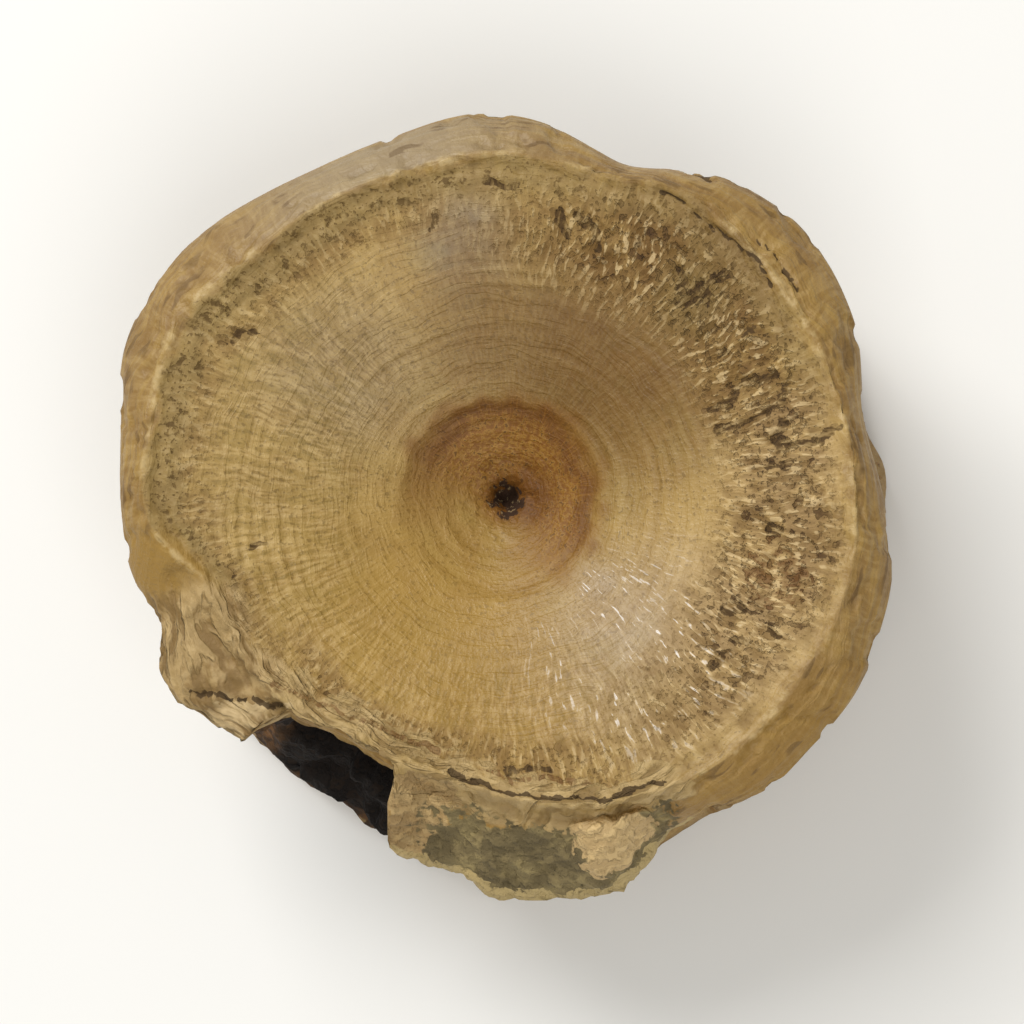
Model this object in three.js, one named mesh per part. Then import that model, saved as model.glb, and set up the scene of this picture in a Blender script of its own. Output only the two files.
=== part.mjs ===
// A fossil shark vertebra: one short, drum-shaped centrum with a deep cone in each end.
// Millimetres, +Z up through the two cones. It lies on its back end, so the front end faces up.
//
// The skin is a stack of closed rings. It runs from the bottom of the front cone, over the front rim,
// down the waisted side wall, over the back rim and up into the back cone.
import * as THREE from "three";

// Size of the whole drum.
const THICKNESS = 27; // rim to rim, along the axis
const FRONT_DEPTH = 11.2; // depth of the front cone below its rim
const BACK_DEPTH = 10.4;
const RING_RADIUS = 27.6; // radius that the growth rings reach at the unbroken rim

// The cones run to a point that lies off the middle of the drum.
const FRONT_APEX = [-0.65, 2.0];
const BACK_APEX = [0.5, 0.9];
const PINHOLE_RADIUS = 1.5; // the small pit at the bottom of each cone
const PINHOLE_DEPTH = 1.3;
const FLARE = 0.34; // share of a cone's depth that its steeper inner part takes
const CORE_RING = 0.27; // where the young animal's steep cone ends, as a share of the ring radius
const CORE_EDGE = 0.03; // half the width of the step there, as a share of the ring radius
const CORE_STEP = 0.28;
const ROUND_WITHIN = 0.45; // the rings are round to here, as a share of the way out to the crest
const GROOVE_AT = 0.955; // fine groove just inside the front rim, as a share of that way
const GROOVE_HALF_WIDTH = 0.032;
const GROOVE_DEPTH = 0.22;

// Outlines as [degrees, radius], counterclockwise from +X.
// The crest is the highest line of the front rim; from 194 to 303 degrees it is broken back.
const FRONT_CREST = [
  [0, 27.2], [15, 27.2], [30, 27.2], [45, 27.5], [60, 28.0], [70, 27.0], [77, 26.9], [90, 27.3],
  [105, 27.0], [120, 27.2], [135, 27.5], [150, 28.9], [165, 27.9], [180, 27.2], [187, 25.5],
  [194, 23.3], [205, 22.8], [215, 22.3], [225, 22.0], [236, 20.9], [247, 21.1], [258, 21.2],
  [268, 21.8], [280, 23.0], [289, 24.0], [298, 24.7], [306, 25.4], [315, 25.9], [330, 26.4],
  [345, 27.2],
];
// The lip is the widest line of the front rim.
const FRONT_LIP = [
  [0, 29.2], [14, 28.5], [29, 30.7], [44, 31.5], [56, 30.8], [63, 29.5], [70, 28.4], [77, 29.1],
  [85, 30.4], [94, 31.0], [106, 30.5], [120, 30.6], [134, 31.8], [146, 32.5], [157, 32.2], [168, 30.5],
  [180, 29.7], [190, 29.2], [198, 27.9], [206, 29.3], [214, 28.3], [221, 27.1], [236, 27.0],
  [252, 27.3], [262, 28.0], [269, 29.3], [279, 29.9], [285, 30.3], [289, 29.8], [294, 27.8],
  [300, 27.4], [306, 28.0], [314, 29.3], [322, 29.6], [332, 30.3], [341, 30.2], [350, 30.1],
];
const BACK_CREST = [
  [0, 26.2], [40, 26.8], [72, 25.4], [100, 26.4], [145, 27.6], [190, 26.4], [222, 25.2], [252, 24.6],
  [285, 24.9], [300, 24.4], [325, 25.8],
];
const BACK_LIP = [
  [0, 28.3], [10, 28.9], [17, 28.2], [30, 29.2], [44, 29.6], [58, 28.6], [66, 27.8], [72, 27.5],
  [79, 28.0], [92, 28.8], [104, 28.6], [118, 29.4], [134, 30.2], [148, 30.4], [160, 29.4], [174, 29.0],
  [186, 29.3], [196, 28.4], [205, 28.7], [216, 27.9], [224, 27.5], [234, 26.7], [246, 26.9],
  [256, 27.6], [266, 27.5], [276, 28.3], [286, 27.9], [294, 26.9], [302, 26.7], [310, 27.6],
  [322, 27.8], [332, 28.3], [344, 28.8],
];

// Heights below the front crest and above the back end.
const CREST_WAVER = 0.35; // how far the front crest rises and falls
const LIP_DROP = 3.6; // crest to lip on a whole stretch of rim
const RIM_ROUNDNESS = 0.5; // 0 is a straight bevel from crest to lip, and 1 is a quarter round
const BROKEN_DROP = 1.5; // crest to lip where the rim has snapped off over the open pit
const MATRIX_DROP = 7.6; // crest to the outer edge of the stone that fills the pit below the broken rim
const MATRIX_STEP = 0.3; // share of that drop taken by the broken edge itself
const PLATE = { from: 283, to: 295, rise: 1.5 }; // scrap of the old rim still standing on the stone
const BACK_LIP_HEIGHT = 3.4;
const LAND_WIDTH = 1.7; // worn flat that the drum rests on
const WAIST = 3.2; // how far the side wall draws in at the middle
const FILLED_WAIST = 1.7; // the same below the stone-filled pit
const LUMP = 0.45; // height of the lumps in that stone

// Stretches of the front rim that time has changed, as [from, to] degrees.
const SHELF = [199, 223]; // top layer of the rim flaked away, leaving a ledge
const NOTCH = [223.1, 249.4]; // rim snapped off over the open pit
const MATRIX = [252, 300]; // rim gone, pit full of hard grey stone
const BREAK_EDGE = 3.75; // degrees that a clean break takes to run from one height to the other
const WORN_EDGE = 7.5; // the same where the break is worn round

// Open pits where the cartilage arches stood: middle, half width and edge in degrees, the stretch of
// the wall that the pit takes from front lip (0) to back lip (1), and its depth. The fourth pit is the
// one full of stone.
const PITS = [
  { at: 236.25, half: 13.15, edge: BREAK_EDGE, from: 0.04, to: 0.84, depth: 9.6 },
  { at: 57, half: 11.2, edge: WORN_EDGE, from: 0.16, to: 0.86, depth: 7.2 },
  { at: 88, half: 11.2, edge: WORN_EDGE, from: 0.16, to: 0.86, depth: 7.2 },
];
const PIT_TOP_EDGE = 0.16; // stretch of the wall over which a pit reaches its full depth
const PIT_BOTTOM_EDGE = 0.22;

// Mesh density: points on a ring, by how far out it lies.
const SEGMENTS = 96;
const HALF_SEGMENTS_WITHIN = 0.36;
const QUARTER_SEGMENTS_WITHIN = 0.14;

const radians = THREE.MathUtils.degToRad;
const { smoothstep, lerp, euclideanModulo } = THREE.MathUtils;

// A closed outline: the smooth periodic curve through [degrees, radius] points.
function outline(points) {
  const count = points.length;
  const point = (i) => points[euclideanModulo(i, count)];
  const gap = (i) => euclideanModulo(point(i + 1)[0] - point(i)[0], 360);
  const slope = (i) => (point(i + 1)[1] - point(i - 1)[1]) / (gap(i) + gap(i - 1));
  return (degrees) => {
    const angle = euclideanModulo(degrees, 360);
    let i = count - 1;
    while (i > 0 && points[i][0] > angle) i--;
    const width = gap(i);
    const t = euclideanModulo(angle - points[i][0], 360) / width;
    const rise = t * t * (3 - 2 * t);
    const bend = t * (1 - t) * width;
    return (
      lerp(point(i)[1], point(i + 1)[1], rise) + bend * ((1 - t) * slope(i) - t * slope(i + 1))
    );
  };
}

// 1 between two angles and 0 outside them, with an edge so many degrees wide.
function stretch([from, to], degrees, edge) {
  const middle = (from + to) / 2;
  const away = Math.abs(euclideanModulo(degrees - middle + 180, 360) - 180);
  return 1 - smoothstep(away, (to - from) / 2 - edge / 2, (to - from) / 2 + edge / 2);
}

// Slow unevenness that no real rim is without.
function waver(degrees, seed) {
  const a = radians(degrees);
  return (
    0.5 * Math.sin(3 * a + seed) +
    0.3 * Math.sin(7 * a + 2.3 * seed) +
    0.2 * Math.sin(13 * a + 4.1 * seed)
  );
}

// Lumps of hard stone, from 1 on a lump to -1 between two, at a share of the way out or down.
function lumps(degrees, along) {
  return Math.sin(radians(degrees) * 17 + 3 * along) * Math.cos(5.5 * along + radians(degrees) * 5);
}

const frontCrest = outline(FRONT_CREST);
const frontLip = outline(FRONT_LIP);
const backCrest = outline(BACK_CREST);
const backLip = outline(BACK_LIP);

// How far the cone has dropped at a share of the ring radius: straight near the rim, then steeper.
function coneDrop(share) {
  const inside = Math.max(0, 1 - share);
  const core = 1 - smoothstep(share, CORE_RING - CORE_EDGE, CORE_RING + CORE_EDGE);
  return lerp(inside, inside ** 3, FLARE) + (CORE_STEP * core) / FRONT_DEPTH;
}

function pinhole(share) {
  const reach = share * RING_RADIUS;
  return PINHOLE_DEPTH * (1 - smoothstep(reach, PINHOLE_RADIUS * 0.3, PINHOLE_RADIUS));
}

// A point of a cone, whose rings shift from the drum's middle at the rim to the cone's point at its bottom.
function onCone(apex, share, degrees) {
  const a = radians(degrees);
  const reach = share * RING_RADIUS;
  return [
    (1 - share) * apex[0] + reach * Math.cos(a),
    (1 - share) * apex[1] + reach * Math.sin(a),
  ];
}

function frontConeHeight(share, degrees) {
  const rim = THICKNESS - CREST_WAVER * (1 - waver(degrees, 1.7) * share ** 2);
  return rim - FRONT_DEPTH * coneDrop(share) - pinhole(share);
}

// Rings of the front cone. Inner rings are round, and the outer ones bend to the broken crest.
function frontConePoint(row, degrees) {
  const crestShare = frontCrest(degrees) / RING_RADIUS;
  const share = row * lerp(1, crestShare, smoothstep(row, ROUND_WITHIN, 1));
  const [x, y] = onCone(FRONT_APEX, share, degrees);
  const groove = GROOVE_DEPTH * (1 - smoothstep(Math.abs(row - GROOVE_AT), 0, GROOVE_HALF_WIDTH));
  return [x, y, frontConeHeight(share, degrees) - groove];
}

// How far the rim has fallen between its crest (out = 0) and its lip (out = 1), as a share of its
// whole drop.
const wholeRimFall = (out) => lerp(out, 1 - Math.sqrt(1 - out ** 2), RIM_ROUNDNESS);
const shelfFall = (out) => 0.35 * smoothstep(out, 0, 0.18) + 0.65 * wholeRimFall(out) ** 2;
const filledPitFall = (out) => lerp(smoothstep(out, 0, 0.13), out ** 1.6, 1 - MATRIX_STEP);

// Front rim from crest to lip, as row runs from 0 to 1.
function frontRimPoint(row, degrees) {
  const notch = stretch(NOTCH, degrees, BREAK_EDGE);
  const matrix = stretch(MATRIX, degrees, WORN_EDGE);
  const shelf = stretch(SHELF, degrees, BREAK_EDGE);
  const [x, y, crestHeight] = frontConePoint(1, degrees);
  const crest = Math.hypot(x, y);
  const lip = lerp(frontLip(degrees), crest + 0.5, notch);
  const drop = lerp(lerp(LIP_DROP, BROKEN_DROP, notch), MATRIX_DROP, matrix);
  const out = lerp(Math.sin((row * Math.PI) / 2), row, matrix);
  const fall = lerp(lerp(wholeRimFall(out), shelfFall(out), shelf), filledPitFall(out), matrix);
  const plate = PLATE.rise * stretch([PLATE.from, PLATE.to], degrees, BREAK_EDGE) * (1 - out ** 4);
  const rise = matrix * smoothstep(out, 0.1, 0.3) * (plate + LUMP * lumps(degrees, out));
  return polar(lerp(crest, lip, out), Math.atan2(y, x), crestHeight - drop * fall + rise);
}

function polar(radius, angle, z) {
  return [radius * Math.cos(angle), radius * Math.sin(angle), z];
}

// Side wall from the front lip to the back lip, as row runs from 0 to 1.
function wallPoint(row, degrees) {
  const [x, y, top] = frontRimPoint(1, degrees);
  const matrix = stretch(MATRIX, degrees, WORN_EDGE);
  const bow = Math.sin(Math.PI * row) ** 0.8;
  const bareWaist = WAIST * (1 + 0.25 * waver(degrees, 3.1));
  const waist = lerp(bareWaist, FILLED_WAIST - LUMP * lumps(degrees, 1 + row), matrix);
  let radius = lerp(Math.hypot(x, y), backLip(degrees), row) - waist * bow;
  for (const pit of PITS) {
    const across = stretch([pit.at - pit.half, pit.at + pit.half], degrees, pit.edge);
    const below = smoothstep(row, pit.from, pit.from + PIT_TOP_EDGE);
    const above = 1 - smoothstep(row, pit.to - PIT_BOTTOM_EDGE, pit.to);
    radius -= pit.depth * across * below * above;
  }
  return polar(radius, Math.atan2(y, x), lerp(top, BACK_LIP_HEIGHT + 0.4 * waver(degrees, 0.6), row));
}

// Back rim from the lip round to the worn flat, as row runs from 0 to 1.
function backRimPoint(row, degrees) {
  const [x, y, height] = wallPoint(1, degrees);
  const lip = Math.hypot(x, y);
  const land = Math.min(backCrest(degrees) + LAND_WIDTH, lip - 0.7);
  const out = Math.cos((row * Math.PI) / 2);
  const round = 1 - Math.sin((row * Math.PI) / 2);
  return polar(lerp(land, lip, out), radians(degrees), height * round);
}

// Back cone from the worn flat's inner edge to its point, as row runs from 1 to 0.
function backConePoint(row, degrees) {
  const crestShare = backCrest(degrees) / RING_RADIUS;
  const share = row * lerp(1, crestShare, smoothstep(row, ROUND_WITHIN, 1));
  const [x, y] = onCone(BACK_APEX, share, degrees);
  const rise = BACK_DEPTH * (coneDrop(share / crestShare) - coneDrop(1)) + pinhole(share);
  return [x, y, rise];
}

// Evenly spaced numbers from one end to the other, both included.
function steps(from, to, count) {
  return Array.from({ length: count }, (_, i) => lerp(from, to, i / (count - 1)));
}

function segmentsAt(share) {
  if (share < QUARTER_SEGMENTS_WITHIN) return SEGMENTS / 4;
  return share < HALF_SEGMENTS_WITHIN ? SEGMENTS / 2 : SEGMENTS;
}

function ring(place, row, segments = SEGMENTS) {
  return Array.from({ length: segments }, (_, i) => place(row, (360 * i) / segments));
}

const coneRows = [
  0.03, 0.06, 0.1, 0.16, 0.22, 0.265, 0.3, 0.38, 0.46, 0.56, 0.66, 0.76, 0.85, 0.92, GROOVE_AT, 0.985, 1,
];
const rimRows = [0.08, 0.22, 0.4, 0.6, 0.8, 1];
const rings = [
  [frontConePoint(0, 0)],
  ...coneRows.map((row) => ring(frontConePoint, row, segmentsAt(row))),
  ...rimRows.map((row) => ring(frontRimPoint, row)),
  ...steps(0.07, 1, 13).map((row) => ring(wallPoint, row)),
  ...steps(0.33, 1, 3).map((row) => ring(backRimPoint, row)),
  ...coneRows.toReversed().map((row) => ring(backConePoint, row, segmentsAt(row))),
  [backConePoint(0, 0)],
];

// Triangles between two neighbouring rings. One may be a single point, or have twice the points of
// the other.
function* between(inner, outer) {
  const most = Math.max(inner.count, outer.count);
  const innerStep = most / inner.count;
  const outerStep = most / outer.count;
  const at = (ringOf, step, i) => ringOf.first + (Math.floor(i / step) % ringOf.count);
  for (let i = 0; i < most; i++) {
    const a = at(inner, innerStep, i);
    const b = at(outer, outerStep, i);
    const nextOuter = at(outer, outerStep, i + 1);
    const nextInner = at(inner, innerStep, i + 1);
    if (b !== nextOuter) yield [a, b, nextOuter];
    if (a !== nextInner) yield [a, nextOuter, nextInner];
  }
}

function closedSkin(allRings) {
  let first = 0;
  const placed = allRings.map((points) => {
    const start = first;
    first += points.length;
    return { first: start, count: points.length };
  });
  const triangles = placed.slice(1).flatMap((outer, i) => [...between(placed[i], outer)]);
  const geometry = new THREE.BufferGeometry();
  geometry.setAttribute("position", new THREE.Float32BufferAttribute(allRings.flat(2), 3));
  geometry.setIndex(triangles.flat());
  return geometry;
}

// The row frame's origin is the middle of the footprint, on the surface that the fossil lies on.
function centred(geometry) {
  geometry.computeBoundingBox();
  const { min, max } = geometry.boundingBox;
  return geometry.translate(-(min.x + max.x) / 2, -(min.y + max.y) / 2, -min.z);
}

const fossilBone = new THREE.MeshStandardMaterial({ color: 0xa98c5c, roughness: 0.55, metalness: 0 });
fossilBone.name = "fossil_bone";

const vertebra = new THREE.Mesh(centred(closedSkin(rings)), fossilBone);
vertebra.name = "vertebra";

const fossil = new THREE.Group();
fossil.name = "fossil_shark_vertebra";
fossil.add(vertebra);

export default fossil;
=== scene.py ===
import math

import bpy
import numpy as np
from mathutils import Matrix, Vector, noise


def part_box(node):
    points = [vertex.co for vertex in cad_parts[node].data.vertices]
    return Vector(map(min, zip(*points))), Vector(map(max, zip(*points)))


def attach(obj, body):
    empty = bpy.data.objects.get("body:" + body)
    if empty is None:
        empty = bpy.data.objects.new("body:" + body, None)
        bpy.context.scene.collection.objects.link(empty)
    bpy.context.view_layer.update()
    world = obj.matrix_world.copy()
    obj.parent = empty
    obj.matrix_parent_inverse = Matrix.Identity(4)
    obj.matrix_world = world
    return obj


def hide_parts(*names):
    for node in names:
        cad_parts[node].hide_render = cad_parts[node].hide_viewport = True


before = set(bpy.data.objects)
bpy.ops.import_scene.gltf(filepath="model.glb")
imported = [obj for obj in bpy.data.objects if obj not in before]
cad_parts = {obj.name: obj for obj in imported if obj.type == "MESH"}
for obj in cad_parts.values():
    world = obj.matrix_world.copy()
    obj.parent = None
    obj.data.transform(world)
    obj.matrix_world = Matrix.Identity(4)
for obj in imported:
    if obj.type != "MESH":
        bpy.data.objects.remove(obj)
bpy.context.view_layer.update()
MM = 0.001

# ---------------------------------------------------------------- the drum and its outlines

THICKNESS = 27
FRONT_DEPTH = 11.2
BACK_DEPTH = 10.4
RING_RADIUS = 27.6  # what the growth rings reach at the unbroken rim
FRONT_APEX = np.array([-0.65, 2.0])
BACK_APEX = np.array([0.5, 0.9])
PINHOLE_RADIUS = 1.5
PINHOLE_DEPTH = 1.3
FLARE = 0.34  # share of a cone's depth that its steeper inner part takes
CORE_RING = 0.27  # where the young animal's steep cone ends, as a share of the ring radius
CORE_EDGE = 0.03
CORE_STEP = 0.28
ROUND_WITHIN = 0.45  # the rings are round to here, as a share of the way out to the crest
GROOVE_AT = 0.955
GROOVE_HALF_WIDTH = 0.032
GROOVE_DEPTH = 0.22

# Outlines as (degrees, radius), counterclockwise from +X. The crest is the highest line of a rim and
# the lip is its widest line.
FRONT_CREST = [
    (0, 27.2), (15, 27.2), (30, 27.2), (45, 27.5), (60, 28.0), (70, 27.0), (77, 26.9), (90, 27.3),
    (105, 27.0), (120, 27.2), (135, 27.5), (150, 28.9), (165, 27.9), (180, 27.2), (187, 25.5),
    (194, 23.3), (205, 22.8), (215, 22.3), (225, 22.0), (236, 20.9), (247, 21.1), (258, 21.2),
    (268, 21.8), (280, 23.0), (289, 24.0), (298, 24.7), (306, 25.4), (315, 25.9), (330, 26.4),
    (345, 27.2),
]  # fmt: skip
FRONT_LIP = [
    (0, 29.2), (14, 28.5), (29, 30.7), (44, 31.5), (56, 30.8), (63, 29.5), (70, 28.4), (77, 29.1),
    (85, 30.4), (94, 31.0), (106, 30.5), (120, 30.6), (134, 31.8), (146, 32.5), (157, 32.2),
    (168, 30.5), (180, 29.7), (190, 29.2), (198, 27.9), (206, 29.3), (214, 28.3), (221, 27.1),
    (236, 27.0), (252, 27.3), (262, 28.0), (269, 29.3), (279, 29.9), (285, 30.3), (289, 29.8),
    (294, 27.8), (300, 27.4), (306, 28.0), (314, 29.3), (322, 29.6), (332, 30.3), (341, 30.2),
    (350, 30.1),
]  # fmt: skip
BACK_CREST = [
    (0, 26.2), (40, 26.8), (72, 25.4), (100, 26.4), (145, 27.6), (190, 26.4), (222, 25.2), (252, 24.6),
    (285, 24.9), (300, 24.4), (325, 25.8),
]  # fmt: skip
BACK_LIP = [
    (0, 28.3), (10, 28.9), (17, 28.2), (30, 29.2), (44, 29.6), (58, 28.6), (66, 27.8), (72, 27.5),
    (79, 28.0), (92, 28.8), (104, 28.6), (118, 29.4), (134, 30.2), (148, 30.4), (160, 29.4),
    (174, 29.0), (186, 29.3), (196, 28.4), (205, 28.7), (216, 27.9), (224, 27.5), (234, 26.7),
    (246, 26.9), (256, 27.6), (266, 27.5), (276, 28.3), (286, 27.9), (294, 26.9), (302, 26.7),
    (310, 27.6), (322, 27.8), (332, 28.3), (344, 28.8),
]  # fmt: skip

CREST_WAVER = 0.35
LIP_DROP = 3.6
RIM_ROUNDNESS = 0.5  # 0 is a straight bevel from crest to lip, and 1 is a quarter round
BROKEN_DROP = 1.5
BROKEN_RIM = 0.5  # what is left of the rim's width over the open pit
SHELF_STEP = 0.35  # share of its fall that the ledge takes in one step
SHELF_STEP_WIDTH = 0.18
MATRIX_DROP = 7.6
MATRIX_STEP = 0.3
MATRIX_STEP_WIDTH = 0.13
MATRIX_ROUNDING = 1.6
PLATE = (283, 295)  # scrap of the old rim still standing on the stone
PLATE_RISE = 1.5
BACK_LIP_HEIGHT = 3.4
LAND_WIDTH = 1.7
LAND_INSET = 0.7  # the least that the land stays inside the back lip
WAIST = 3.2
WAIST_FULLNESS = 0.8  # under 1, the waist begins sooner below a rim
FILLED_WAIST = 1.7
LUMP = 0.45

SHELF = (199, 223)  # top layer of the rim flaked away, leaving a ledge
NOTCH = (223.1, 249.4)  # rim snapped off over the open pit
MATRIX = (252, 300)  # rim gone, pit full of hard grey stone
BREAK_EDGE = 2.6
WORN_EDGE = 7.5

# Open pits where the cartilage arches stood: middle, half width, edge, top, bottom and depth.
PITS = [
    (236.25, 13.15, BREAK_EDGE, 0.04, 0.84, 9.6),
    (57, 11.2, WORN_EDGE, 0.16, 0.86, 7.2),
    (88, 11.2, WORN_EDGE, 0.16, 0.86, 7.2),
]
PIT_TOP_EDGE = 0.16
PIT_BOTTOM_EDGE = 0.22


def lerp(a, b, t):
    return a + (b - a) * t


def smoothstep(x, low, high):
    t = np.clip((x - low) / (high - low), 0, 1)
    return t * t * (3 - 2 * t)


def outline(points):
    """A closed outline: the smooth periodic curve through (degrees, radius) points."""
    at, radius = np.array(points, float).T
    gap = np.mod(np.roll(at, -1) - at, 360)
    slope = (np.roll(radius, -1) - np.roll(radius, 1)) / (gap + np.roll(gap, 1))

    def radius_at(degrees):
        angle = np.mod(degrees, 360)
        i = np.searchsorted(at, angle, side="right") - 1
        after = (i + 1) % len(at)
        t = (angle - at[i]) / gap[i]
        bend = t * (1 - t) * gap[i]
        curve = bend * ((1 - t) * slope[i] - t * slope[after])
        return lerp(radius[i], radius[after], t * t * (3 - 2 * t)) + curve

    return radius_at


def stretch(span, degrees, edge):
    """1 between two angles and 0 outside them, with an edge so many degrees wide."""
    middle, half = (span[0] + span[1]) / 2, (span[1] - span[0]) / 2
    away = np.abs(np.mod(degrees - middle + 180, 360) - 180)
    return 1 - smoothstep(away, half - edge / 2, half + edge / 2)


def waver(degrees, seed):
    """Slow unevenness that no real rim is without."""
    a = np.radians(degrees)
    return (
        0.5 * np.sin(3 * a + seed)
        + 0.3 * np.sin(7 * a + 2.3 * seed)
        + 0.2 * np.sin(13 * a + 4.1 * seed)
    )


def lumps(degrees, along):
    a = np.radians(degrees)
    return np.sin(a * 17 + 3 * along) * np.cos(5.5 * along + a * 5)


front_crest, front_lip = outline(FRONT_CREST), outline(FRONT_LIP)
back_crest, back_lip = outline(BACK_CREST), outline(BACK_LIP)

# ---------------------------------------------------------------- the form, ring by ring


def cone_drop(share):
    """How far a cone has dropped at a share of the ring radius."""
    inside = np.maximum(0, 1 - share)
    core = 1 - smoothstep(share, CORE_RING - CORE_EDGE, CORE_RING + CORE_EDGE)
    return lerp(inside, inside**3, FLARE) + (CORE_STEP * core) / FRONT_DEPTH


def pinhole(share):
    return PINHOLE_DEPTH * (1 - smoothstep(share * RING_RADIUS, PINHOLE_RADIUS * 0.3, PINHOLE_RADIUS))


def on_cone(apex, share, degrees):
    a = np.radians(degrees)
    x = (1 - share) * apex[0] + share * RING_RADIUS * np.cos(a)
    y = (1 - share) * apex[1] + share * RING_RADIUS * np.sin(a)
    return x, y


def polar(radius, angle, z):
    return radius * np.cos(angle), radius * np.sin(angle), z


def ring_share(row, crest_share):
    """Inner rings are round, and the outer ones bend to the crest."""
    return row * lerp(1, crest_share, smoothstep(row, ROUND_WITHIN, 1))


def front_cone(row, degrees):
    share = ring_share(row, front_crest(degrees) / RING_RADIUS)
    x, y = on_cone(FRONT_APEX, share, degrees)
    groove = GROOVE_DEPTH * (1 - smoothstep(abs(row - GROOVE_AT), 0, GROOVE_HALF_WIDTH))
    rim = THICKNESS - CREST_WAVER * (1 - waver(degrees, 1.7) * share**2)
    return x, y, rim - FRONT_DEPTH * cone_drop(share) - pinhole(share) - groove


def whole_rim_fall(out):
    return lerp(out, 1 - np.sqrt(np.maximum(0, 1 - out**2)), RIM_ROUNDNESS)


def shelf_fall(out):
    step = smoothstep(out, 0, SHELF_STEP_WIDTH)
    return lerp(whole_rim_fall(out) ** 2, step, SHELF_STEP)


def filled_pit_fall(out):
    return lerp(smoothstep(out, 0, MATRIX_STEP_WIDTH), out**MATRIX_ROUNDING, 1 - MATRIX_STEP)


def front_rim(row, degrees):
    """Front rim from crest to lip, as row runs from 0 to 1."""
    notch = stretch(NOTCH, degrees, BREAK_EDGE)
    matrix = stretch(MATRIX, degrees, WORN_EDGE)
    shelf = stretch(SHELF, degrees, BREAK_EDGE)
    x, y, crest_height = front_cone(1, degrees)
    crest = np.hypot(x, y)
    lip = lerp(front_lip(degrees), crest + BROKEN_RIM, notch)
    drop = lerp(lerp(LIP_DROP, BROKEN_DROP, notch), MATRIX_DROP, matrix)
    out = lerp(math.sin(row * math.pi / 2), row, matrix)
    fall = lerp(lerp(whole_rim_fall(out), shelf_fall(out), shelf), filled_pit_fall(out), matrix)
    plate = PLATE_RISE * stretch(PLATE, degrees, BREAK_EDGE) * (1 - out**4)
    rise = matrix * smoothstep(out, 0.1, 0.3) * (plate + LUMP * lumps(degrees, out))
    return polar(lerp(crest, lip, out), np.arctan2(y, x), crest_height - drop * fall + rise)


def between_pit_sides(middle, half, edge, row, degrees):
    """1 between the two sides of a pit, which are as uneven as old breaks."""
    uneven = 1.1 * np.sin(9 * row + 0.2 * degrees) + 0.5 * np.sin(23 * row + 0.5 * degrees)
    return stretch((middle - half, middle + half), degrees + uneven, edge)


def side_wall(row, degrees):
    """Side wall from the front lip to the back lip, as row runs from 0 to 1."""
    x, y, top = front_rim(1, degrees)
    matrix = stretch(MATRIX, degrees, WORN_EDGE)
    bare_waist = WAIST * (1 + 0.25 * waver(degrees, 3.1))
    waist = lerp(bare_waist, FILLED_WAIST - LUMP * lumps(degrees, 1 + row), matrix)
    bow = max(0, math.sin(math.pi * row)) ** WAIST_FULLNESS
    radius = lerp(np.hypot(x, y), back_lip(degrees), row) - waist * bow
    for middle, half, edge, top_row, bottom_row, depth in PITS:
        across = between_pit_sides(middle, half, edge, row, degrees)
        along = smoothstep(row, top_row, top_row + PIT_TOP_EDGE)
        along *= 1 - smoothstep(row, bottom_row - PIT_BOTTOM_EDGE, bottom_row)
        radius = radius - depth * across * along
    z = lerp(top, BACK_LIP_HEIGHT + 0.4 * waver(degrees, 0.6), row)
    return polar(radius, np.arctan2(y, x), z)


def back_rim(row, degrees):
    """Back rim from the lip round to the worn flat, as row runs from 0 to 1."""
    x, y, height = side_wall(1, degrees)
    lip = np.hypot(x, y)
    land = np.minimum(back_crest(degrees) + LAND_WIDTH, lip - LAND_INSET)
    out, fall = math.cos(row * math.pi / 2), math.sin(row * math.pi / 2)
    return polar(lerp(land, lip, out), np.radians(degrees), height * (1 - fall))


def back_cone(row, degrees):
    """Back cone from the worn flat's inner edge to its point, as row runs from 0 to 1."""
    crest_share = back_crest(degrees) / RING_RADIUS
    share = ring_share(1 - row, crest_share)
    x, y = on_cone(BACK_APEX, share, degrees)
    return x, y, BACK_DEPTH * (cone_drop(share / crest_share) - cone_drop(1)) + pinhole(share)


# ---------------------------------------------------------------- rings of the fine skin

# The profile of the drum as one number, from 0 in the middle of the front to 5 in the middle of the back.
FRONT_CREST_AT, FRONT_LIP_AT, BACK_LIP_AT, LAND_AT, BACK_MIDDLE_AT = 1, 2, 3, 4, 5
STRETCHES = [front_cone, front_rim, side_wall, back_rim, back_cone]

# Rows of rings: the stop that a row starts from, its first and last ring after that, how many rings it
# has, and how many points a ring has. They are close enough for growth rings 1 mm apart.
ROWS = [
    (0, 0.012, 0.15, 16, 128),
    (0, 0.158, 0.49, 41, 256),
    (0, 0.498, 1, 62, 512),
    (FRONT_CREST_AT, 0.035, 1, 28, 512),
    (FRONT_LIP_AT, 0.025, 1, 38, 512),
    (BACK_LIP_AT, 0.1, 1, 10, 256),
    (LAND_AT, 0.02, 0.66, 38, 256),
    (LAND_AT, 0.675, 0.985, 20, 128),
]


def place(at, degrees):
    """Points of the form at one stop on the profile, in the solid's own coordinates before centring."""
    index = max(math.ceil(at) - 1, 0)
    x, y, z = STRETCHES[index](at - index, degrees)
    return np.column_stack(np.broadcast_arrays(x, y, z))


def form_rings():
    """All rings from front middle to back middle: the points, their profile stop and their direction."""
    rows = [
        (stop + at, count)
        for stop, low, high, rings, count in ROWS
        for at in np.linspace(low, high, rings)
    ]
    points, stops, turns, starts = [], [], [], [0]
    for at, count in [(0, 1), *rows, (BACK_MIDDLE_AT, 1)]:
        degrees = np.arange(count) * 360 / count
        points.append(place(at, degrees))
        stops.append(np.full(count, float(at)))
        turns.append(degrees)
        starts.append(starts[-1] + count)
    return np.concatenate(points), np.concatenate(stops), np.concatenate(turns), starts


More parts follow.
